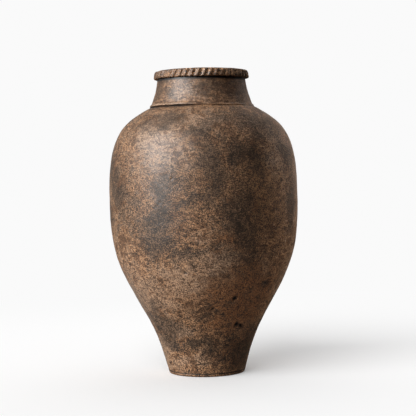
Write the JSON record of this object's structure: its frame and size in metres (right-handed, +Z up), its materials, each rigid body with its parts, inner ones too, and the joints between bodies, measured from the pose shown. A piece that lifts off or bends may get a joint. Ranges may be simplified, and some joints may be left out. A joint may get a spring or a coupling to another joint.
{
  "type": "storage jar",
  "caption": "Tall wide-bellied clay storage jar on a narrow foot, with a short flaring neck and a slant-notched band round the lip, built up from luted clay sections.",
  "frame": {"origin": "centre of the flat underside of the base, on the floor", "axes": "+Z up along the jar's axis, out of the mouth; the jar is round, so +X and +Y are free, and -Y faces the viewer"},
  "size_m": [0.5628, 0.5627, 0.9],
  "materials": {
    "fired_clay": "matte"
  },
  "bodies": {
    "root": {"base_disc": "fired_clay", "base_corner_coil": "fired_clay", "foot_belt": "fired_clay", "lower_belt": "fired_clay", "hip_belt": "fired_clay", "belly_belt": "fired_clay", "upper_belt": "fired_clay", "shoulder_belt": "fired_clay", "neck_collar": "fired_clay", "lip_ring": "fired_clay", "notched_band": "fired_clay"}
  },
  "joints": []
}
